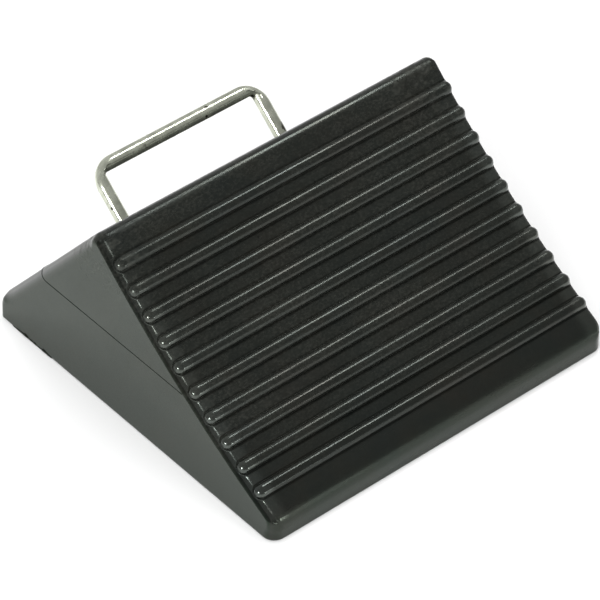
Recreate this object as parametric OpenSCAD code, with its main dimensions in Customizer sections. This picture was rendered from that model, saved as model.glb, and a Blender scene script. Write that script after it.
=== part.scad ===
// Rubber wheel chock with a moulded-in steel carrying handle.
// +X is the width, -Y is the side that meets the tyre, +Z is up.
// The origin is the centre of the flat base.

/* [Block] */
// Width of the block, along the tyre's axle
block_w = 254; // [200:1:320]
// Length of the base from the front toe to the rear toe
block_len = 250; // [220:1:290]
// Height of the ridge above the base
block_h = 124; // [110:1:140]
// Length of the tyre face on plan, from the front toe to the ridge
face_run = 151.5; // [140:0.5:165]
// Width of the flat land along the ridge
ridge_land = 5.8; // [4:0.1:12]
// Height of the upright toe at the front and at the rear
toe_h = 16; // [14:0.5:24]
// Radius of the hollow that the tyre face is curved to
tyre_r = 630; // [500:5:900]

/* [Ribs] */
// Number of ribs across the tyre face
rib_count = 10; // [4:1:10]
// Distance from one rib to the next along the face
rib_pitch = 16.6; // [14:0.1:16.8]
// Radius of the rounded rib section
rib_r = 4.4; // [3.5:0.1:5]
// Height of a rib above the face
rib_h = 4; // [2:0.1:4.5]
// Distance from the ridge to the middle of the first rib
first_rib = 17.6; // [14:0.1:19]

/* [Edges] */
// Radius where the tyre face meets the end faces
face_edge_r = 6; // [3:0.5:8]
// Radius where the rear slope and the land meet the end faces
slope_edge_r = 8; // [4:0.5:10]
// Radius of the upright corners at the front toe
front_corner_r = 8; // [4:0.5:12]
// Radius of the upright corners at the rear toe
rear_corner_r = 3; // [2:0.5:6]
// Radius along the top of the front toe
toe_edge_r = 6.5; // [3:0.5:8]
// Radius along the top of the rear toe and the back of the ridge
back_edge_r = 3; // [1:0.5:5]

/* [Handle] */
// Diameter of the handle's steel rod
rod_d = 8.6; // [7:0.1:10]
// Width of the handle between the middles of its legs
handle_w = 121; // [100:1:140]
// Height of the grip's middle above the rear slope
grip_h = 36; // [30:1:50]
// Radius of the rod's bends, to the middle of the rod
bend_r = 12; // [10:0.5:16]
// Depth of the anchor feet below the rear slope
anchor_depth = 50; // [40:1:55]
// Length of each anchor foot from the middle of its leg
foot_len = 32; // [20:1:40]
// Where the legs enter the rear slope, as a share of its length from the ridge
handle_place = 0.6; // [0.5:0.01:0.65]

/* [Hidden] */
$fn = 32;
// Fineness of the large arc of the tyre face
arc_fn = 240;
// How far a cutting shape reaches past the surface that it cuts
past = 1;
rod_r = rod_d / 2;
// How far the tip of a rib stops short of the end face
rib_inset = 2.2;

// Corners of the block's outline, as [y, z]
front_toe = [-block_len / 2, toe_h];
ridge_front = [face_run - block_len / 2, block_h];
ridge_back = ridge_front + [ridge_land, 0];
rear_toe = [block_len / 2, toe_h];

// The tyre face is an arc that hollows the straight line from the ridge to the front toe
face_chord = norm(ridge_front - front_toe);
face_along = (front_toe - ridge_front) / face_chord;
face_out = [face_along[1], -face_along[0]];
face_half_angle = asin(face_chord / 2 / tyre_r);
arc_centre = (ridge_front + front_toe) / 2 + face_out * tyre_r * cos(face_half_angle);
ridge_angle = atan2(ridge_front[1] - arc_centre[1], ridge_front[0] - arc_centre[0]);
toe_angle = ridge_angle - 2 * face_half_angle;
degrees_per_mm = 180 / (PI * tyre_r);
// How far the rounding of the face's ends runs on past each end of the arc, in degrees
face_past = 1.5;

// The rear slope is flat, and the handle stands square to it
slope = rear_toe - ridge_back;
slope_lean = atan2(-slope[1], slope[0]);
handle_foot = ridge_back + slope * handle_place;

// Outward directions of the faces, as angles from +Y in the side view
face_toe_out = atan2(arc_centre[1] - front_toe[1], arc_centre[0] - front_toe[0]);
slope_out = 90 - slope_lean;

function direction(angle) = [cos(angle), sin(angle)];

// Where the middle of rib number i sits on the arc, as an angle about the arc's centre
function rib_angle(i) = ridge_angle - (first_rib + i * rib_pitch) * degrees_per_mm;

// The waste outside a rounded corner of an outline, between two faces' outward directions
module corner_waste(corner, out_a, out_b, r) {
    a = direction(out_a);
    b = direction(out_b);
    reach = (a + b) / (1 + a * b);
    middle = corner - r * reach;
    difference() {
        polygon([
            middle,
            middle + (r + past) * a,
            corner + past * reach,
            middle + (r + past) * b
        ]);
        translate(middle) circle(r = r);
    }
}

// Side view of the block without its ribs: x is +Y and y is +Z
module block_outline() {
    difference() {
        polygon([
            [-block_len / 2, 0],
            [block_len / 2, 0],
            rear_toe,
            ridge_back,
            ridge_front,
            front_toe
        ]);
        translate(arc_centre) circle(r = tyre_r, $fn = arc_fn);
        corner_waste(front_toe, 180, face_toe_out, toe_edge_r);
        corner_waste(rear_toe, 0, slope_out, back_edge_r);
        corner_waste(ridge_back, 90, slope_out, back_edge_r);
    }
}

// The waste outside a rounded straight edge: the edge runs up +Z from the origin,
// and the block lies on the -X and -Y sides of it
module edge_waste(r, len) {
    difference() {
        translate([-r, -r, 0]) cube([r + past, r + past, len]);
        translate([-r, -r, -past]) cylinder(r = r, h = len + 2 * past);
    }
}

// Places the waste of an edge of the +X end face: the edge starts at [y, z],
// and the face beside it looks out at the given angle
module end_edge(start, out, r, len) {
    translate([block_w / 2, start[0], start[1]]) rotate([out, 0, 0]) edge_waste(r, len);
}

// The waste along the +X end of the tyre face, turned about the arc's axis
module face_end_edge() {
    swept = face_half_angle * 2 + 2 * face_past;
    translate([0, arc_centre[0], arc_centre[1]])
        rotate([toe_angle - face_past, 0, 0]) rotate([90, 0, 90])
            rotate_extrude(angle = swept, $fn = arc_fn)
                difference() {
                    translate([tyre_r - past, block_w / 2 - face_edge_r])
                        square([face_edge_r + past, face_edge_r + past]);
                    translate([tyre_r + face_edge_r, block_w / 2 - face_edge_r])
                        circle(r = face_edge_r);
                }
}

// All the rounded edges of the +X end
module end_waste() {
    slope_start = rear_toe + past * direction(slope_out - 90);
    face_end_edge();
    end_edge(slope_start, slope_out, slope_edge_r, norm(slope) + 2 * past);
    end_edge(ridge_back + [past, 0], 90, slope_edge_r, ridge_land + 2 * past);
    end_edge([block_len / 2, -past], 0, rear_corner_r, toe_h + 3 * past);
    end_edge([-block_len / 2, toe_h + front_corner_r], 180, front_corner_r, toe_h + 2 * front_corner_r);
}

// One rib: a round bar sunk to just past half its depth in the tyre face, with rounded ends
module rib(angle) {
    middle = arc_centre + (tyre_r + rib_r - rib_h) * direction(angle);
    half = block_w / 2 - rib_r - rib_inset;
    translate([0, middle[0], middle[1]]) {
        rotate([0, 90, 0]) cylinder(r = rib_r, h = 2 * half, center = true);
        for (side = [-1, 1]) translate([side * half, 0, 0]) sphere(r = rib_r);
    }
}

// A quarter-turn of the rod about a centre in the handle's plane, starting at an angle
module bend(centre, start) {
    translate([centre[0], 0, centre[1]])
        rotate([90, 0, 0])
            rotate([0, 0, start])
                rotate_extrude(angle = 90)
                    translate([bend_r, 0]) circle(r = rod_r);
}

// A straight stretch of the rod along +X, from a point in the handle's plane
module rod_across(start, len) {
    translate([start[0], 0, start[1]]) rotate([0, 90, 0]) cylinder(r = rod_r, h = len);
}

// A leg of the handle with the bend above it and the bend and foot below it
module leg() {
    leg_x = handle_w / 2;
    translate([leg_x, 0, bend_r - anchor_depth])
        cylinder(r = rod_r, h = grip_h + anchor_depth - 2 * bend_r);
    bend([leg_x - bend_r, grip_h - bend_r], 0);
    bend([leg_x + bend_r, bend_r - anchor_depth], 180);
    rod_across([leg_x + bend_r, -anchor_depth], foot_len - bend_r);
}

// The whole bent rod, square to the rear slope
module handle_rod() {
    translate([0, handle_foot[0], handle_foot[1]])
        rotate([-(90 - slope_out), 0, 0]) {
            rod_across([bend_r - handle_w / 2, grip_h], handle_w - 2 * bend_r);
            leg();
            mirror([1, 0, 0]) leg();
        }
}

// Solid moulded rubber block, closed round the buried legs and feet of the handle
module rubber_block() {
    color([0.14, 0.14, 0.14])
        difference() {
            union() {
                difference() {
                    rotate([90, 0, 90]) linear_extrude(height = block_w, center = true) block_outline();
                    end_waste();
                    mirror([1, 0, 0]) end_waste();
                }
                for (i = [0 : rib_count - 1]) rib(rib_angle(i));
            }
            handle_rod();
        }
}

// Handle bent from one length of plated steel rod, with its feet turned out in the rubber
module handle() {
    color([0.78, 0.78, 0.74]) handle_rod();
}

rubber_block();
handle();
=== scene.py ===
"""Looks of the rubber wheel chock: a moulded rubber block and a plated steel handle."""
import math
from functools import cached_property
from types import SimpleNamespace

import bmesh
import bpy
import numpy as np
from mathutils import Matrix, Vector, noise


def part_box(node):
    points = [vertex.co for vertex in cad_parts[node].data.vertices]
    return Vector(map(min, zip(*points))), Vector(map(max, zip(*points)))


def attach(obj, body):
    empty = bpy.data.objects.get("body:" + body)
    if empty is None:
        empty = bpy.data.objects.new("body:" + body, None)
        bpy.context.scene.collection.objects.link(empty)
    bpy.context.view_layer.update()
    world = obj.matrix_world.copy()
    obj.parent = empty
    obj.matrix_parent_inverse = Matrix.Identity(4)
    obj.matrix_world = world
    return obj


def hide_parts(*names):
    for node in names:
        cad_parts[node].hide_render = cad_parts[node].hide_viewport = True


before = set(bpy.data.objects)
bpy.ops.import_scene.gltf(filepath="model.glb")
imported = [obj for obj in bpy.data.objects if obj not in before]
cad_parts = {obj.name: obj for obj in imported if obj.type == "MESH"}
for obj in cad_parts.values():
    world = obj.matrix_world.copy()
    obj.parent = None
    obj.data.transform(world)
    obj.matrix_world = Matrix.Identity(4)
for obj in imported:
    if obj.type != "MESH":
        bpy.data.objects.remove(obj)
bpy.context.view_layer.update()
MM = 0.001

# ---------------------------------------------------------------- sizes, from the frame and the design
BLOCK_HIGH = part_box("rubber_block")[1]
HALF_W = BLOCK_HIGH.x
HALF_L = BLOCK_HIGH.y
HEIGHT = BLOCK_HIGH.z
FACE_RUN = 151.5 * MM
RIDGE_LAND = 5.8 * MM
TOE_H = 16 * MM
TYRE_R = 630 * MM

RIB_COUNT = 10
RIB_PITCH = 16.6 * MM
FIRST_RIB = 17.6 * MM
RIB_R = 4.6 * MM
RIB_SUNK = 0.6 * MM
RIB_FOOT_R = 0.3 * MM
NOSE_FOOT_R = 2.2 * MM
# The tyre face sits a little to the right: it leaves a narrow ledge at the left end, and almost none
# at the right
LEFT_NOSE_INSET = 2.0 * MM
RIGHT_NOSE_INSET = 0.7 * MM
LEFT_LEDGE = 3.4 * MM
RIGHT_LEDGE = 0.2 * MM
LEDGE_DEPTH = 1.7 * MM
LEDGE_EDGE_R = 0.5 * MM
LEDGE_FOOT_R = 0.3 * MM
PAD_EDGE_R = 4.3 * MM
RIGHT_EDGE_R = 5.0 * MM

RIDGE_FRONT_R = 2.2 * MM
RIDGE_BACK_R = 3 * MM
FRONT_TOE_R = 7 * MM
REAR_TOE_R = 3 * MM
BASE_R = 1 * MM
# Edges between the end faces and the ridge, the rear slope, the front toe and the rear toe
RIDGE_END_R = 3 * MM
SLOPE_END_R = 8.5 * MM
FRONT_END_R = 8 * MM
REAR_END_R = 3 * MM
# How softly the radius of an end edge changes from one of those faces to the next
EDGE_BLEND = 1.5 * MM
# Height of the slow unevenness of the tyre face
WAVE = 0.07 * MM

ROD_R = 4.3 * MM
HANDLE_W = 121 * MM
GRIP_H = 36 * MM
BEND_R = 12 * MM
HANDLE_PLACE = 0.6
LEG_SUNK = 12 * MM
# The rod's own bend is tight; its outside is drawn flat to the larger radius
INNER_BEND_R = 6.3 * MM

# ---------------------------------------------------------------- corners of the side view, as (y, z)
FRONT_TOE = np.array([-HALF_L, TOE_H])
RIDGE_FRONT = np.array([FACE_RUN - HALF_L, HEIGHT])
RIDGE_BACK = RIDGE_FRONT + [RIDGE_LAND, 0]
REAR_TOE = np.array([HALF_L, TOE_H])


def unit(v):
    return v / np.linalg.norm(v)


FACE_CHORD = np.linalg.norm(FRONT_TOE - RIDGE_FRONT)
FACE_ALONG = unit(FRONT_TOE - RIDGE_FRONT)
FACE_OUT = np.array([FACE_ALONG[1], -FACE_ALONG[0]])
ARC_CENTRE = (FRONT_TOE + RIDGE_FRONT) / 2 + FACE_OUT * math.sqrt(TYRE_R**2 - FACE_CHORD**2 / 4)
RIDGE_ANGLE = math.atan2(*(RIDGE_FRONT - ARC_CENTRE)[::-1])
TOE_ANGLE = math.atan2(*(FRONT_TOE - ARC_CENTRE)[::-1])
SLOPE_ALONG = unit(REAR_TOE - RIDGE_BACK)
SLOPE_OUT = np.array([-SLOPE_ALONG[1], SLOPE_ALONG[0]])


# ---------------------------------------------------------------- the block as a distance function
def round_max(a, b, r):
    """Where two shapes overlap, with the edge between them rounded to radius r."""
    corner = np.hypot(np.maximum(r + a, 0), np.maximum(r + b, 0))
    return np.minimum(-r, np.maximum(a, b)) + corner


def round_min(a, b, r):
    """Two shapes joined, with the inner corner between them filled to radius r."""
    corner = np.hypot(np.maximum(r - a, 0), np.maximum(r - b, 0))
    return np.maximum(r, np.minimum(a, b)) - corner


def tyre_height(y, z):
    """Height above the hollowed face that meets the tyre."""
    return TYRE_R - np.hypot(y - ARC_CENTRE[0], z - ARC_CENTRE[1])


def waviness(x, y, z):
    """The slow, shallow unevenness of moulded rubber, as waves some 45 to 100 mm long."""
    along = y - z
    first = np.sin(61 * x + 2.1 * np.sin(23 * along)) * np.sin(97 * along + 1.3 * np.sin(31 * x))
    second = np.sin(139 * x + 71 * along + 2 * np.sin(47 * x))
    return WAVE * (first + 0.6 * second)


def beyond_rib(x):
    """How far x is past the straight part of the ribs."""
    inset = np.where(x < 0, LEFT_NOSE_INSET, RIGHT_NOSE_INSET)
    return np.maximum(np.abs(x) - (HALF_W - inset - RIB_R), 0)


def rib_distance(x, y, z):
    """Distance outside the nearest round-topped, round-ended rib."""
    along = (RIDGE_ANGLE - np.arctan2(z - ARC_CENTRE[1], y - ARC_CENTRE[0])) * TYRE_R - FIRST_RIB
    nearest = np.clip(np.round(along / RIB_PITCH), 0, RIB_COUNT - 1)
    side = along - nearest * RIB_PITCH
    height = tyre_height(y, z)
    # No deeper than the pad, so the ribs don't show through the end faces below it
    up = np.maximum(height + RIB_SUNK, 0) + np.maximum(-LEDGE_DEPTH - height, 0)
    return np.sqrt(side**2 + up**2 + beyond_rib(x) ** 2) - RIB_R


def top_plane(y, z):
    return z - HEIGHT


def rear_slope(y, z):
    return (y - RIDGE_BACK[0]) * SLOPE_OUT[0] + (z - RIDGE_BACK[1]) * SLOPE_OUT[1]


def lower_faces(around, y, z):
    """Cuts a shape with the rear slope and both toes."""
    around = round_max(around, rear_slope(y, z), RIDGE_BACK_R)
    around = round_max(around, -HALF_L - y, FRONT_TOE_R)
    return round_max(around, y - HALF_L, REAR_TOE_R)


def end_edge_radius(x, y, z):
    """Radius of the edge between the end faces and whichever long face is nearest."""
    faces = [
        (tyre_height(y, z) + LEDGE_DEPTH, np.where(x < 0, LEDGE_EDGE_R, RIGHT_EDGE_R)),
        (top_plane(y, z) + LEDGE_DEPTH, RIDGE_END_R),
        (rear_slope(y, z), SLOPE_END_R),
        (-HALF_L - y, FRONT_END_R),
        (y - HALF_L, REAR_END_R),
    ]
    near = [np.exp(np.clip(face / EDGE_BLEND, -60, 8)) for face, _ in faces]
    return sum(w * r for w, (_, r) in zip(near, faces)) / sum(near)


def block_distance(x, y, z):
    """Distance outside the whole block, negative inside."""
    end = np.abs(x) - HALF_W
    pad = round_max(tyre_height(y, z) + waviness(x, y, z), top_plane(y, z), RIDGE_FRONT_R)
    pad = round_max(pad, end + np.where(x < 0, LEFT_LEDGE, RIGHT_LEDGE), PAD_EDGE_R)
    foot = RIB_FOOT_R + (NOSE_FOOT_R - RIB_FOOT_R) * np.minimum(beyond_rib(x) / RIB_R, 1)
    pad = lower_faces(round_min(pad, rib_distance(x, y, z), foot), y, z)
    core = round_max(tyre_height(y, z), top_plane(y, z), RIDGE_FRONT_R) + LEDGE_DEPTH
    core = round_max(lower_faces(core, y, z), end, end_edge_radius(x, y, z))
    return round_max(round_min(pad, core, LEDGE_FOOT_R), -z, BASE_R)


RAY_REACH = 50 * MM
RAY_HALVINGS = 34


def surface_point(origin, direction):
    """Where rays from inside the block meet its surface; both arrays are (..., 3)."""
    near = np.zeros(origin.shape[:-1])
    far = np.full(origin.shape[:-1], RAY_REACH)
    for _ in range(RAY_HALVINGS):
        mid = (near + far) / 2
        at = origin + mid[..., None] * direction
        inside = block_distance(at[..., 0], at[..., 1], at[..., 2]) < 0
        near = np.where(inside, mid, near)
        far = np.where(inside, far, mid)
    return origin + near[..., None] * direction


# ---------------------------------------------------------------- mesh helpers
WELD = 0.002 * MM


def new_object(name, verts, faces, smooth=True):
    mesh = bpy.data.meshes.new(name)
    mesh.from_pydata([tuple(v) for v in verts], [], faces)
    work = bmesh.new()
    work.from_mesh(mesh)
    bmesh.ops.remove_doubles(work, verts=work.verts, dist=WELD)
    work.to_mesh(mesh)
    work.free()
    mesh.validate()
    if smooth:
        mesh.shade_smooth()
    obj = bpy.data.objects.new(name, mesh)
    bpy.context.scene.collection.objects.link(obj)
    return obj


def ring_faces(rows, cols):
    """Quads between rings of points, stored one ring after another."""
    faces = []
    for i in range(rows - 1):
        for j in range(cols):
            k = (j + 1) % cols
            faces.append((i * cols + j, i * cols + k, (i + 1) * cols + k, (i + 1) * cols + j))
    return faces


def sweep(path, radius, sides, across):
    """Points and quads of a tube along a path; across is a direction that the path never follows."""
    count = len(path)
    tangents = np.gradient(path, axis=0)
    rings = []
    radii = np.broadcast_to(radius, count)
    angles = np.arange(sides)[:, None] * 2 * math.pi / sides
    for middle, tangent, r in zip(path, tangents, radii):
        ahead = unit(tangent)
        first = unit(np.cross(across, ahead))
        second = np.cross(ahead, first)
        rings.append(middle + r * (np.cos(angles) * first + np.sin(angles) * second))
    verts = np.concatenate(rings)
    faces = ring_faces(count, sides)
    faces.append(tuple(reversed(range(sides))))
    faces.append(tuple((count - 1) * sides + j for j in range(sides)))
    return verts, faces


# ---------------------------------------------------------------- rubber block
# The rays start on an outline this far inside the block, and this many rows of them fan out at each end
INSET = 9 * MM
END_STEPS = 34
STATION_GAP = 5 * MM
# Rings that close the flat middle of an end face, as shares of its rim
CAP_RINGS = (0.96, 0.88, 0.75, 0.55, 0.3, 0.1)
# Outline points are this far apart on the tyre face, round the toes and elsewhere, and closer where
# the outline turns
FACE_GAP = 1.4 * MM
TOE_GAP = 1.1 * MM
POINT_GAP = 5 * MM
POINT_TURN = math.radians(10)
# How far below the tyre face a point may be and still count as on it
FACE_MARGIN = 2 * MM
# The stretch at each toe where the upright corners' curve crosses the base
TOE_REACH = 12 * MM
# Points tried along the tyre face, before some are picked
ARC_TRIES = 2400
# How far the inner outline's top lies below the ridge
APEX_DROP = 1.15 * INSET


def inner_and_outer():
    """Dense points round the side view: one run well inside the block, and one on its plain outline."""
    low = INSET
    front = -HALF_L + INSET
    rear = HALF_L - INSET
    arc_r = TYRE_R + INSET
    front_top = ARC_CENTRE[1] - math.sqrt(arc_r**2 - (front - ARC_CENTRE[0]) ** 2)
    rear_top = RIDGE_BACK[1] - (INSET + (rear - RIDGE_BACK[0]) * SLOPE_OUT[0]) / SLOPE_OUT[1]
    apex = (RIDGE_FRONT + RIDGE_BACK) / 2 + [0, -APEX_DROP]
    arc = np.linspace(RIDGE_ANGLE, TOE_ANGLE, ARC_TRIES)
    outer_arc = ARC_CENTRE + TYRE_R * np.stack([np.cos(arc), np.sin(arc)], 1)
    inner_first = math.atan2(*(apex - ARC_CENTRE)[::-1])
    inner_last = math.atan2(front_top - ARC_CENTRE[1], front - ARC_CENTRE[0])
    inner_arc = np.linspace(inner_first, inner_last, ARC_TRIES)
    inner_reach = np.linspace(np.linalg.norm(apex - ARC_CENTRE), arc_r, ARC_TRIES)[:, None]
    inner_arc = ARC_CENTRE + inner_reach * np.stack([np.cos(inner_arc), np.sin(inner_arc)], 1)
    inner, outer = [inner_arc], [outer_arc]
    # Each straight side: its inner and outer start, its inner and outer end, and the points tried
    straight = [
        ((front, front_top), FRONT_TOE, (front, low), (-HALF_L, 0), 300),
        ((front, low), (-HALF_L, 0), (rear, low), (HALF_L, 0), 600),
        ((rear, low), (HALF_L, 0), (rear, rear_top), REAR_TOE, 300),
        ((rear, rear_top), REAR_TOE, apex, RIDGE_BACK, 900),
        (apex, RIDGE_BACK, apex, RIDGE_FRONT, 200),
    ]
    for in_a, out_a, in_b, out_b, count in straight:
        t = np.linspace(0, 1, count)[:, None]
        inner.append(np.array(in_a) * (1 - t) + np.array(in_b) * t)
        outer.append(np.array(out_a) * (1 - t) + np.array(out_b) * t)
    return np.concatenate(inner), np.concatenate(outer)


def outline_rays():
    """Origins and directions of the rays that mesh the block, one pair for each outline point."""
    inner, outer = inner_and_outer()
    direction = outer - inner
    direction /= np.linalg.norm(direction, axis=1)[:, None]
    flat = np.zeros((len(inner), 1))
    met = surface_point(np.hstack([flat, inner]), np.hstack([flat, direction]))[:, 1:]
    step = np.diff(np.vstack([met, met[:1]]), axis=0)
    length = np.linalg.norm(step, axis=1)
    heading = np.unwrap(np.arctan2(step[:, 1], step[:, 0]))
    turn = np.abs(np.diff(np.append(heading, heading[-1])))
    turn[length < 1e-7] = 0
    on_face = tyre_height(met[:, 0], met[:, 1]) > -FACE_MARGIN
    at_toe = (np.abs(met[:, 0]) > HALF_L - TOE_REACH) & (met[:, 1] < TOE_H)
    gap = np.where(on_face, FACE_GAP, np.where(at_toe, TOE_GAP, POINT_GAP))
    cost = np.concatenate([[0], np.cumsum(length / gap + np.minimum(turn, 1) / POINT_TURN)])
    count = int(cost[-1])
    at = np.searchsorted(cost, np.arange(count) * cost[-1] / count, side="left")
    at = np.minimum(at, len(inner) - 1)
    keep = sorted(set(at.tolist()))
    return inner[keep], direction[keep]


def block_mesh():
    """Verts and faces of the block: rings round its length, closing to a flat cap at each end."""
    inner, direction = outline_rays()
    cols = len(inner)
    middle = HALF_W - INSET
    stations = int(2 * middle / STATION_GAP)
    rows = []
    for theta in np.linspace(-math.pi / 2, 0, END_STEPS, endpoint=False):
        rows.append((-middle, theta))
    for x in np.linspace(-middle, middle, stations):
        rows.append((x, 0.0))
    for theta in np.linspace(math.pi / 2, 0, END_STEPS, endpoint=False)[::-1]:
        rows.append((middle, theta))
    origins = np.empty((len(rows), cols, 3))
    rays = np.empty((len(rows), cols, 3))
    for i, (x, theta) in enumerate(rows):
        origins[i] = np.hstack([np.full((cols, 1), x), inner])
        rays[i] = np.hstack([np.full((cols, 1), math.sin(theta)), direction * math.cos(theta)])
    points = surface_point(origins, rays).reshape(-1, 3)
    faces = ring_faces(len(rows), cols)
    left = end_cap(points[:cols], 0, len(points))
    right = end_cap(points[-cols:], len(points) - cols, len(points) + len(left[0]))
    faces += left[1] + [tuple(reversed(face)) for face in right[1]]
    return np.concatenate([points, left[0], right[0]]), faces


def end_cap(rim, rim_start, start):
    """New points and faces that close the ring of points rim; rim_start and start are their indices."""
    ahead = np.roll(rim, -1, axis=0)
    area = rim[:, 1] * ahead[:, 2] - ahead[:, 1] * rim[:, 2]
    centre = ((rim + ahead) * area[:, None]).sum(axis=0) / (3 * area.sum())
    centre[0] = rim[0, 0]
    cols = len(rim)
    rings = [centre + (rim - centre) * s for s in CAP_RINGS]
    faces = []
    for k in range(len(rings)):
        outer = rim_start if k == 0 else start + (k - 1) * cols
        inner = start + k * cols
        for j in range(cols):
            n = (j + 1) % cols
            faces.append((outer + n, outer + j, inner + j, inner + n))
    middle = start + len(rings) * cols
    last = middle - cols
    faces += [(last + (j + 1) % cols, last + j, middle) for j in range(cols)]
    return np.concatenate(rings + [centre[None]]), faces


UP = np.array([0, 0, 1.0])
PARTING_Z = RIDGE_BACK[1] + (REAR_TOE[1] - RIDGE_BACK[1]) * HANDLE_PLACE
PARTING_R = 0.3 * MM
PARTING_SIDES = 6
# The parting line stops this far short of the tyre face, and its rays start this far inside
PARTING_GAP = 6 * MM
PARTING_INSET = 12 * MM

FLASH_FRONT = 76 * MM
FLASH_REAR = 113 * MM
FLASH_THIN = 0.2 * MM
FLASH_THICK = 0.75 * MM
FLASH_RAGGED = 340
FLASH_SIDES = 8


def parting_line():
    """The fine raised line that the mould's joint leaves on both end faces and the rear slope."""
    z = PARTING_Z
    front = ARC_CENTRE[0] + math.sqrt(TYRE_R**2 - (z - ARC_CENTRE[1]) ** 2)
    rear = RIDGE_BACK[0] - (z - RIDGE_BACK[1]) * SLOPE_OUT[1] / SLOPE_OUT[0]
    inner_x = HALF_W - PARTING_INSET
    inner_rear = rear - PARTING_INSET
    origins, rays = [], []
    for y in np.linspace(front + PARTING_GAP, inner_rear, 30):
        origins.append((-inner_x, y, z))
        rays.append((-1, 0, 0))
    for angle in np.linspace(0, math.pi / 2, 14)[1:]:
        origins.append((-inner_x, inner_rear, z))
        rays.append((-math.cos(angle), math.sin(angle), 0))
    for x in np.linspace(-inner_x, 0, 20)[1:]:
        origins.append((x, inner_rear, z))
        rays.append((0, 1, 0))
    path = surface_point(np.array(origins), np.array(rays, float))
    path = np.concatenate([path, path[::-1][1:] * [-1, 1, 1]])
    return sweep(path, PARTING_R, PARTING_SIDES, UP)


def flash():
    """Ragged rubber left by the mould along the bottom edge of the left end, near the rear."""
    y = np.linspace(FLASH_FRONT, FLASH_REAR, 70)
    bumps = np.sin(math.pi * (y - FLASH_FRONT) / (FLASH_REAR - FLASH_FRONT))
    ragged = np.array([0.45 + noise.noise(Vector((v * FLASH_RAGGED, 0.3, 4.7))) for v in y])
    radius = FLASH_THIN + FLASH_THICK * np.sqrt(bumps) * np.clip(ragged, 0, 1)
    path = np.stack([-HALF_W + 0.1 * MM - 0.1 * radius, y, 1.5 * radius], 1)
    return sweep(path, radius, FLASH_SIDES, UP)


def merge(parts):
    """Joins several (verts, faces) lists into one."""
    verts, faces, start = [], [], 0
    for v, f in parts:
        verts.append(np.asarray(v))
        faces += [tuple(i + start for i in face) for face in f]
        start += len(v)
    return np.concatenate(verts), faces


# ---------------------------------------------------------------- handle
ROD_SIDES = 36
# The lip's section: how far outside the rod and how far up from the slope, in mm
LIP_PROFILE = [(3.2, -0.6), (2.3, 0.05), (1.2, 0.25), (0.5, 0.7), (0.12, 1.25), (-0.4, 1.3)]
LIP_STEPS = 48
LIP_RAGGED = 0.22
LIP_LUMPS = 1.7
HANDLE_FOOT = RIDGE_BACK + (REAR_TOE - RIDGE_BACK) * HANDLE_PLACE


def on_handle(x, up):
    """A point in the handle's plane, x across and up from the rear slope, in the frame."""
    y, z = HANDLE_FOOT + SLOPE_OUT * up
    return np.array([x, y, z])


def handle_path():
    """Middle of the rod that shows: up one leg, across the grip and down the other."""
    half = HANDLE_W / 2
    turn = np.linspace(0, math.pi / 2, 17)
    middle_x = half - INNER_BEND_R
    middle_up = GRIP_H - INNER_BEND_R
    right = [(half, up) for up in np.linspace(-LEG_SUNK, middle_up, 30)]
    for a in turn[1:]:
        right.append((middle_x + INNER_BEND_R * math.cos(a), middle_up + INNER_BEND_R * math.sin(a)))
    right += [(x, GRIP_H) for x in np.linspace(middle_x, 0, 36)[1:]]
    whole = right + [(-x, up) for x, up in right[::-1][1:]]
    return np.array([on_handle(x, up) for x, up in whole])


def handle_mesh():
    """The bent rod: tight inside each bend, drawn flat outside it."""
    verts, faces = sweep(handle_path(), ROD_R, ROD_SIDES, np.array([0, *SLOPE_ALONG]))
    flat = verts[:, 1:] - HANDLE_FOOT
    along = flat @ SLOPE_ALONG
    over_x = np.maximum(np.abs(verts[:, 0]) - (HANDLE_W / 2 - BEND_R), 0)
    over_up = np.maximum(flat @ SLOPE_OUT - (GRIP_H - BEND_R), 0)
    reach = np.maximum(np.hypot(over_x, over_up), 1e-6)
    limit = BEND_R + np.sqrt(np.maximum(ROD_R**2 - along**2, 0))
    pull = np.maximum(1 - limit / reach, 0) * (over_x > 0) * (over_up > 0)
    verts[:, 0] -= np.sign(verts[:, 0]) * over_x * pull
    verts[:, 1:] -= (over_up * pull)[:, None] * SLOPE_OUT
    return verts, faces


def rubber_lip(side):
    """The rubber that creeps a little way up a leg where it leaves the slope."""
    centre = on_handle(side * HANDLE_W / 2, 0)
    across = np.array([1.0, 0, 0])
    along = np.array([0, *SLOPE_ALONG])
    out = np.array([0, *SLOPE_OUT])
    verts = []
    for gap, up in LIP_PROFILE:
        for k in range(LIP_STEPS):
            a = 2 * math.pi * k / LIP_STEPS
            spot = Vector((math.cos(a) * LIP_LUMPS, math.sin(a) * LIP_LUMPS, side * 5))
            ragged = 1 + LIP_RAGGED * noise.noise(spot)
            r = ROD_R + gap * MM * ragged
            around = math.cos(a) * across + math.sin(a) * along
            verts.append(centre + r * around + up * MM * ragged * out)
    return np.array(verts), ring_faces(len(LIP_PROFILE), LIP_STEPS)


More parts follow.
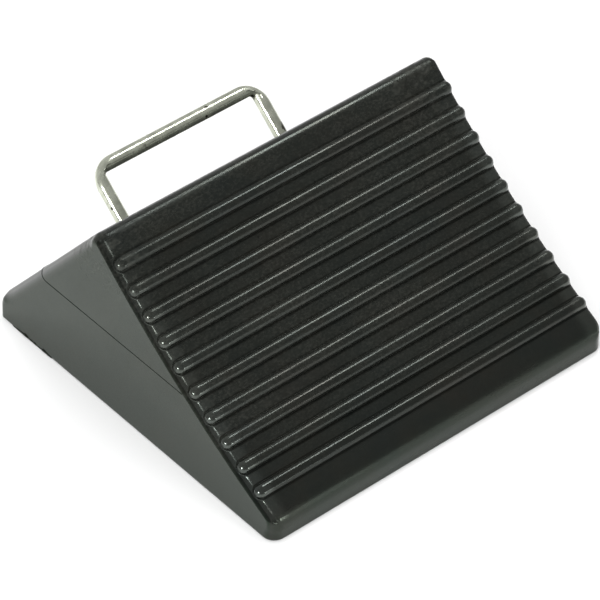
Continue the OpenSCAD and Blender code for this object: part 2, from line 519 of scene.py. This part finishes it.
# ---------------------------------------------------------------- material helpers
class Graph:
    """A material's shader nodes, with one short call for each kind of node used here."""

    def __init__(self, name):
        self.material = bpy.data.materials.new(name)
        self.material.use_nodes = True
        self.nodes = self.material.node_tree.nodes
        self.links = self.material.node_tree.links
        self.shader = self.nodes["Principled BSDF"]

    @cached_property
    def position(self):
        """The place on the piece, in its own frame."""
        return self.nodes.new("ShaderNodeTexCoord").outputs["Object"]

    def give(self, socket, value):
        """Links another node's output to a socket, or sets the socket to a plain value."""
        if isinstance(value, bpy.types.NodeSocket):
            self.links.new(value, socket)
        else:
            socket.default_value = value

    def math(self, operation, first, second=0.0, clamp=False):
        node = self.nodes.new("ShaderNodeMath")
        node.operation = operation
        node.use_clamp = clamp
        self.give(node.inputs[0], first)
        self.give(node.inputs[1], second)
        return node.outputs["Value"]

    def add(self, first, second):
        return self.math("ADD", first, second)

    def subtract(self, first, second):
        return self.math("SUBTRACT", first, second)

    def multiply(self, first, second, clamp=False):
        return self.math("MULTIPLY", first, second, clamp)

    def either(self, first, second):
        return self.math("MAXIMUM", first, second)

    def lowered(self, mask, share):
        """1 outside the mask, and 1 less the share inside it."""
        return self.subtract(1.0, self.multiply(mask, share))

    def between(self, source, low, high, smooth, to_low=0.0, to_high=1.0):
        """A source's run from low to high, mapped to another range and held beyond its ends."""
        node = self.nodes.new("ShaderNodeMapRange")
        node.interpolation_type = "SMOOTHSTEP" if smooth else "LINEAR"
        self.give(node.inputs["Value"], source)
        self.give(node.inputs["From Min"], low)
        self.give(node.inputs["From Max"], high)
        self.give(node.inputs["To Min"], to_low)
        self.give(node.inputs["To Max"], to_high)
        return node.outputs["Result"]

    def ease(self, source, low, high):
        """0 at low, 1 at high, with a smooth run between them."""
        return self.between(source, low, high, True)

    def noise(self, scale, detail, rough, stretch=(1, 1, 1)):
        place = self.nodes.new("ShaderNodeMapping")
        self.give(place.inputs["Vector"], self.position)
        self.give(place.inputs["Scale"], stretch)
        node = self.nodes.new("ShaderNodeTexNoise")
        self.give(node.inputs["Vector"], place.outputs["Vector"])
        self.give(node.inputs["Scale"], scale)
        self.give(node.inputs["Detail"], detail)
        self.give(node.inputs["Roughness"], rough)
        return node.outputs["Fac"]

    def cell_distance(self, scale):
        """Distance to the nearest of many scattered points, for pits and specks."""
        node = self.nodes.new("ShaderNodeTexVoronoi")
        self.give(node.inputs["Vector"], self.position)
        self.give(node.inputs["Scale"], scale)
        return node.outputs["Distance"]

    def ramp(self, source, stops):
        """Colours by the value of a source; stops are (value, colour) from low to high."""
        node = self.nodes.new("ShaderNodeValToRGB")
        elements = node.color_ramp.elements
        for element, (value, colour) in zip((elements[0], elements[1]), (stops[0], stops[-1])):
            element.position = value
            element.color = colour
        for value, colour in stops[1:-1]:
            elements.new(value).color = colour
        self.give(node.inputs["Fac"], source)
        return node.outputs["Color"]

    def blend(self, share, first, second):
        """The first colour, giving way to the second by a share from 0 to 1."""
        node = self.nodes.new("ShaderNodeMix")
        node.data_type = "RGBA"
        self.give(node.inputs["Factor"], share)
        self.give(node.inputs["A"], first)
        self.give(node.inputs["B"], second)
        return node.outputs["Result"]

    def bump(self, height, strength, distance, normal=None):
        node = self.nodes.new("ShaderNodeBump")
        self.give(node.inputs["Height"], height)
        self.give(node.inputs["Strength"], strength)
        self.give(node.inputs["Distance"], distance)
        if normal:
            self.give(node.inputs["Normal"], normal)
        return node.outputs["Normal"]

    def look(self, name, value):
        """Sets one of the shader's own inputs."""
        self.give(self.shader.inputs[name], value)


# ---------------------------------------------------------------- rubber
RUBBER_IOR = 1.455
RUBBER_TONES = [
    (0.32, (0.0038, 0.0048, 0.0044, 1)),
    (0.5, (0.0048, 0.0054, 0.0046, 1)),
    (0.68, (0.0062, 0.0060, 0.0047, 1)),
]
PIT_COLOUR = (0.0015, 0.0015, 0.0015, 1)
PIT_SCALE = 60

DUST_COLOUR = (0.031, 0.0315, 0.027, 1)
# Shares of dust: everywhere, above the toe, in patches there, and on the worn top corners
DUST_LEAST = 0.05
DUST_ABOVE_TOE = 0.08
DUST_IN_PATCHES = 0.22
DUST_ON_WORN = 0.5
# The dust's own grain, from thin to thick
DUST_THIN = 0.3
DUST_GRAIN = 1.4

SHEEN_TONES = [
    (0.35, (0.88, 1.0, 0.93, 1)),
    (0.5, (0.90, 1.0, 0.89, 1)),
    (0.65, (0.98, 1.0, 0.89, 1)),
]
END_SHEEN = (0.68, 0.96, 0.68, 1)
TOE_SHEEN_SHARE = 0.4

# Strength of the reflection, and what rubbing, grain, the end faces and the creases change; less shine
# in the creases is painted shade, and the ledge loses shine too
SHINE = 0.38
RUBBED_SHINE = 0.7
SHINE_GRAIN = 0.25
END_SHINE_LOSS = 0.07
CREASE_SHINE_LOSS = 0.86

ROUGH_LOW = 0.17
ROUGH_HIGH = 0.34
RUBBED_SMOOTHER = 0.25
CREASE_ROUGHER = 0.45
WORN_ROUGHER = 0.3

# Noises: scale, detail, roughness and stretch along each axis
TONE_NOISE = (34, 5, 0.6)
PATCH_NOISE = (26, 5, 0.65, (0.5, 1, 1))
MOTTLE_NOISE = (170, 6, 0.7, (0.8, 1, 1))
DUST_NOISE = (680, 5, 0.75, (0.7, 1, 1))
SHINE_NOISE = (900, 3, 0.7)
SHEEN_NOISE = (22, 3, 0.5)
STREAK_NOISE = (90, 5, 0.6, (0.12, 1, 1))
RIPPLE_NOISE = (110, 3, 0.5, (0.4, 1, 1))
GRAIN_NOISE = (900, 3, 0.6)
# Where each mask is 0 and where it is 1: first in the noises and cells
PATCH_EDGE = (0.36, 0.66)
MOTTLE_EDGE = (0.42, 0.64)
DUST_EDGE = (0.42, 0.66)
STREAK_EDGE = (0.3, 0.7)
PIT_EDGE = (0.045, 0.025)
# Then along X, Y and Z
WORN_RIGHT = (60 * MM, 125 * MM)
WORN_LEFT = (-85 * MM, -125 * MM)
NEAR_END = (HALF_W - 15 * MM, HALF_W - 8 * MM)
ON_LEDGE = (HALF_W - 2.7 * MM, HALF_W - 1.7 * MM)
END_FACE = (HALF_W - 1.7 * MM, HALF_W - 0.4 * MM)
TOE_FACE = (-HALF_L + 5 * MM, -HALF_L + 1 * MM)
ABOVE_TOE = (24 * MM, 44 * MM)
WORN_TOP = (80 * MM, HEIGHT)
# Then by height above the tyre face, by distance from a rib's foot, and along the face past the ribs
ON_PAD = (-2 * LEDGE_DEPTH, -2 * LEDGE_DEPTH + 1 * MM)
ON_GROOVES = (-1.3 * MM, -0.6 * MM)
IN_CREASE = (0.9 * MM, 0.4 * MM)
FOOT_OFFSET = 0.1 * MM
PAST_RIBS = 7 * MM
PAST_RIBS_FADE = 1 * MM

# The bumps are calmer on the rubbed ends
CALM_SHARE = 0.8
GRAIN_STRENGTH = 0.2
GRAIN_DEPTH = 0.2 * MM
RIPPLE_STRENGTH = 0.12
RIPPLE_DEPTH = 0.6 * MM


def crease_and_height(g, y, z):
    """A mask of the creases at the feet of the ribs, and the height above the tyre face."""
    y = g.subtract(y, float(ARC_CENTRE[0]))
    z = g.subtract(z, float(ARC_CENTRE[1]))
    from_centre = g.math("SQRT", g.add(g.multiply(y, y), g.multiply(z, z)))
    height = g.subtract(TYRE_R, from_centre)
    angle = g.subtract(RIDGE_ANGLE, g.math("ARCTAN2", z, y))
    along = g.subtract(g.multiply(angle, TYRE_R), FIRST_RIB)
    from_rib = g.math("PINGPONG", g.math("ABSOLUTE", along), RIB_PITCH / 2)
    from_foot = g.math("ABSOLUTE", g.subtract(from_rib, RIB_R + FOOT_OFFSET))
    crease = g.ease(from_foot, *IN_CREASE)
    first = -PAST_RIBS
    last = (RIB_COUNT - 1) * RIB_PITCH + PAST_RIBS
    past_first = g.ease(along, first, first + PAST_RIBS_FADE)
    before_last = g.ease(along, last, last - PAST_RIBS_FADE)
    on_ribs = g.multiply(g.multiply(past_first, before_last), g.ease(height, *ON_GROOVES))
    return g.multiply(crease, on_ribs), height


def rubber_places(g):
    """Where the rubber differs from place to place, as masks from 0 to 1."""
    split = g.nodes.new("ShaderNodeSeparateXYZ")
    g.give(split.inputs["Vector"], g.position)
    x, y, z = split.outputs["X"], split.outputs["Y"], split.outputs["Z"]
    across = g.math("ABSOLUTE", x)
    crease, height = crease_and_height(g, y, z)
    on_pad = g.ease(height, *ON_PAD)
    ledge = g.multiply(g.ease(across, *ON_LEDGE), on_pad)
    worn = g.multiply(g.ease(z, *WORN_TOP), g.either(g.ease(x, *WORN_RIGHT), g.ease(x, *WORN_LEFT)))
    near_end = g.ease(across, *NEAR_END)
    return SimpleNamespace(
        above_toe=g.ease(z, *ABOVE_TOE),
        worn=worn,
        mottle=g.ease(g.noise(*MOTTLE_NOISE), *MOTTLE_EDGE),
        near_end=near_end,
        rubbed=g.multiply(g.multiply(near_end, on_pad), g.subtract(1.0, worn)),
        # Creases and ledge get less shine and more roughness; in the creases the lost shine is painted
        # shade
        dull=g.either(crease, ledge),
        end_face=g.ease(across, *END_FACE),
        toe_face=g.ease(y, *TOE_FACE),
    )


def rubber_colour(g, at):
    """Black rubber with dust above the toe and a few dark pits."""
    tone = g.ramp(g.noise(*TONE_NOISE), RUBBER_TONES)
    patches = g.ease(g.noise(*PATCH_NOISE), *PATCH_EDGE)
    grain = g.ease(g.noise(*DUST_NOISE), *DUST_EDGE)
    dust = g.multiply(g.add(g.multiply(patches, DUST_IN_PATCHES), DUST_ABOVE_TOE), at.above_toe)
    dust = g.add(dust, DUST_LEAST)
    dust = g.add(dust, g.multiply(at.worn, g.multiply(at.mottle, DUST_ON_WORN)))
    dust = g.multiply(dust, g.add(g.multiply(grain, DUST_GRAIN), DUST_THIN), clamp=True)
    dusty = g.blend(dust, tone, DUST_COLOUR)
    return g.blend(g.ease(g.cell_distance(PIT_SCALE), *PIT_EDGE), dusty, PIT_COLOUR)


def rubber_shine(g, at):
    """Strength of the reflection: high on rubbed edges and rib ends, low in creases and on the ledge;
    the low shine in the creases is painted shade.
    """
    shine = g.add(SHINE, g.multiply(at.rubbed, RUBBED_SHINE))
    shine = g.add(shine, g.multiply(g.noise(*SHINE_NOISE), SHINE_GRAIN))
    shine = g.subtract(shine, g.multiply(at.end_face, END_SHINE_LOSS))
    # The reflection is nearly taken out in the creases at the ribs' feet, as painted shade, and on the
    # ledge
    return g.multiply(shine, g.lowered(at.dull, CREASE_SHINE_LOSS))


def rubber_sheen(g, at):
    """Tint of the reflection, which is greener on the upright faces."""
    tone = g.ramp(g.noise(*SHEEN_NOISE), SHEEN_TONES)
    upright = g.either(at.end_face, g.multiply(at.toe_face, TOE_SHEEN_SHARE))
    return g.blend(upright, tone, END_SHEEN)


def rubber_roughness(g, at):
    """Streaks along the width, smoother near the ends, rougher in creases and on the worn corners."""
    rough = g.between(g.noise(*STREAK_NOISE), *STREAK_EDGE, False, ROUGH_LOW, ROUGH_HIGH)
    rough = g.multiply(rough, g.lowered(at.near_end, RUBBED_SMOOTHER))
    dull = g.multiply(at.dull, CREASE_ROUGHER)
    dull = g.add(dull, g.multiply(at.worn, g.multiply(at.mottle, WORN_ROUGHER)))
    return g.add(rough, dull)


def rubber_relief(g, at):
    """Slow ripples with a fine grain on them."""
    calm = g.lowered(at.near_end, CALM_SHARE)
    rippled = g.bump(g.noise(*RIPPLE_NOISE), g.multiply(calm, RIPPLE_STRENGTH), RIPPLE_DEPTH)
    return g.bump(g.noise(*GRAIN_NOISE), g.multiply(calm, GRAIN_STRENGTH), GRAIN_DEPTH, rippled)


def rubber_material():
    g = Graph("moulded_rubber")
    at = rubber_places(g)
    g.look("IOR", RUBBER_IOR)
    g.look("Base Color", rubber_colour(g, at))
    g.look("Specular IOR Level", rubber_shine(g, at))
    g.look("Specular Tint", rubber_sheen(g, at))
    g.look("Roughness", rubber_roughness(g, at))
    g.look("Normal", rubber_relief(g, at))
    return g.material


# ---------------------------------------------------------------- plated steel
STEEL_METALLIC = 0.87
STEEL_TONES = [
    (0.35, (0.50, 0.52, 0.43, 1)),
    (0.65, (0.70, 0.73, 0.61, 1)),
]
SPECK_COLOUR = (0.05, 0.045, 0.035, 1)
SPECK_SCALE = 95
SPECK_EDGE = (0.12, 0.07)
# Colour of the painted shade inside both bends, and of the dark scuffs
BEND_SHADE_AND_SCUFF_COLOUR = (0.07, 0.068, 0.05, 1)
# Where the painted shade in a bend starts and where it is darkest, from the bend's inside corner
BEND_SHADE_REACH = (3.4 * MM, 1.6 * MM)
SCUFF_EDGE = (0.63, 0.70)
SCUFF_NOISE = (150, 5, 0.5)
STEEL_NOISE = (140, 6, 0.5)
STEEL_EDGE = (0.3, 0.7)
SCRATCH_NOISE = (700, 4, 0.5, (0.15, 1, 1))
STEEL_ROUGH_LOW = 0.12
STEEL_ROUGH_HIGH = 0.34
SCRATCH_STRENGTH = 0.25
SCRATCH_DEPTH = 0.1 * MM


def bend_shade_and_scuffs(g):
    """Dark scuffs here and there, and painted shade in the inside corner of both bends."""
    mirrored = g.nodes.new("ShaderNodeVectorMath")
    mirrored.operation = "ABSOLUTE"
    g.give(mirrored.inputs[0], g.position)
    corner = g.nodes.new("ShaderNodeVectorMath")
    corner.operation = "DISTANCE"
    g.give(corner.inputs[0], mirrored.outputs["Vector"])
    inside = ROD_R + 0.5 * MM
    g.give(corner.inputs[1], on_handle(HANDLE_W / 2 - inside, GRIP_H - inside))
    # Painted shade: darker towards the inside corner of each bend
    bend_shade = g.ease(corner.outputs["Value"], *BEND_SHADE_REACH)
    scuffs = g.ease(g.noise(*SCUFF_NOISE), *SCUFF_EDGE)
    return g.either(bend_shade, scuffs)


def steel_material():
    g = Graph("plated_steel")
    tone = g.noise(*STEEL_NOISE)
    specks = g.between(g.cell_distance(SPECK_SCALE), *SPECK_EDGE, False)
    spotted = g.blend(specks, g.ramp(tone, STEEL_TONES), SPECK_COLOUR)
    g.look("Metallic", STEEL_METALLIC)
    # The base colour carries the painted shade in the bends and the scuffs
    g.look("Base Color", g.blend(bend_shade_and_scuffs(g), spotted, BEND_SHADE_AND_SCUFF_COLOUR))
    g.look("Roughness", g.between(tone, *STEEL_EDGE, False, STEEL_ROUGH_LOW, STEEL_ROUGH_HIGH))
    g.look("Normal", g.bump(g.noise(*SCRATCH_NOISE), SCRATCH_STRENGTH, SCRATCH_DEPTH))
    return g.material


# ---------------------------------------------------------------- stage, light and camera
FLOOR_TONE = (0.86, 0.86, 0.86, 1)
FLOOR_ROUGH = 0.9
FLOOR_HALF = 6.0
FLOOR_DROP = 0.2 * MM

WORLD_TONES = [
    (0.0, (0.3, 0.3, 0.3, 1)),
    (0.55, (0.45, 0.45, 0.45, 1)),
]
LIGHT_AIM = (0, 0, 0.05)
# Name, place in metres, diameter in metres, watts
LAMPS = [
    ("right_lamp", (0.6, 0.185, 1.15), 0.22, 2.3),
    ("left_lamp", (-2.06, -0.62, 0.8), 0.46, 29),
    ("front_lamp", (0.72, -2.17, 0.19), 0.2, 3),
]
# Large lights that brighten the scene without showing in reflections
FILLS = [
    ("fill_top", (0, 0.2, 2.4), 2.6, 40),
    ("fill_camera", (-1.1, -1.2, 1.9), 2.2, 28),
]

CAMERA_AZIMUTH = math.radians(-40.446)
CAMERA_ELEVATION = math.radians(41.906)
CAMERA_ROLL = math.radians(0.203)
CAMERA_DISTANCE = 2450.9 * MM
CAMERA_LENS = 247.86
CAMERA_SENSOR = 36
CAMERA_TARGET = Vector((14.76, 18.23, 3.66)) * MM


def make_floor():
    half = FLOOR_HALF
    corners = [(-half, -half, 0), (half, -half, 0), (half, half, 0), (-half, half, 0)]
    floor = new_object("floor", corners, [(0, 1, 2, 3)], smooth=False)
    g = Graph("pale_floor")
    g.look("Base Color", FLOOR_TONE)
    g.look("Roughness", FLOOR_ROUGH)
    floor.data.materials.append(g.material)
    floor.location.z = -FLOOR_DROP


def area_light(name, place, size, power):
    data = bpy.data.lights.new(name, "AREA")
    data.shape = "DISK"
    data.size = size
    data.energy = power
    lamp = bpy.data.objects.new(name, data)
    lamp.location = place
    lamp.rotation_euler = (Vector(LIGHT_AIM) - Vector(place)).to_track_quat("-Z", "Y").to_euler()
    bpy.context.scene.collection.objects.link(lamp)
    return lamp


def make_lights():
    for name, place, size, power in LAMPS:
        area_light(name, place, size, power)
    for name, place, size, power in FILLS:
        area_light(name, place, size, power).visible_glossy = False


def make_world():
    world = bpy.data.worlds.new("studio")
    world.use_nodes = True
    nodes, links = world.node_tree.nodes, world.node_tree.links
    coords = nodes.new("ShaderNodeTexCoord")
    split = nodes.new("ShaderNodeSeparateXYZ")
    links.new(coords.outputs["Generated"], split.inputs["Vector"])
    ramp = nodes.new("ShaderNodeValToRGB")
    for element, (value, colour) in zip(ramp.color_ramp.elements, WORLD_TONES):
        element.position = value
        element.color = colour
    links.new(split.outputs["Y"], ramp.inputs["Fac"])
    links.new(ramp.outputs["Color"], nodes["Background"].inputs["Color"])
    bpy.context.scene.world = world


def make_camera():
    data = bpy.data.cameras.new("camera")
    data.lens = CAMERA_LENS
    data.sensor_width = CAMERA_SENSOR
    camera = bpy.data.objects.new("camera", data)
    back = Vector((math.sin(CAMERA_AZIMUTH) * math.cos(CAMERA_ELEVATION),
                   -math.cos(CAMERA_AZIMUTH) * math.cos(CAMERA_ELEVATION),
                   math.sin(CAMERA_ELEVATION)))
    right = Vector((math.cos(CAMERA_AZIMUTH), math.sin(CAMERA_AZIMUTH), 0))
    turn = Matrix((right, back.cross(right), back)).transposed().to_4x4()
    roll = Matrix.Rotation(CAMERA_ROLL, 4, "Z")
    camera.matrix_world = Matrix.Translation(CAMERA_TARGET + back * CAMERA_DISTANCE) @ turn @ roll
    bpy.context.scene.collection.objects.link(camera)
    bpy.context.scene.camera = camera


# ---------------------------------------------------------------- build
make_camera()
make_world()
make_floor()
make_lights()

rubber = rubber_material()
steel = steel_material()

block_parts = [block_mesh(), parting_line(), flash(), rubber_lip(-1), rubber_lip(1)]
block = new_object("moulded_block", *merge(block_parts))
block.data.materials.append(rubber)
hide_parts("rubber_block")
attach(block, "root")

rod = new_object("bent_rod", *handle_mesh())
rod.data.materials.append(steel)
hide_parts("handle")
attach(rod, "root")

bpy.context.scene.view_settings.view_transform = "Standard"
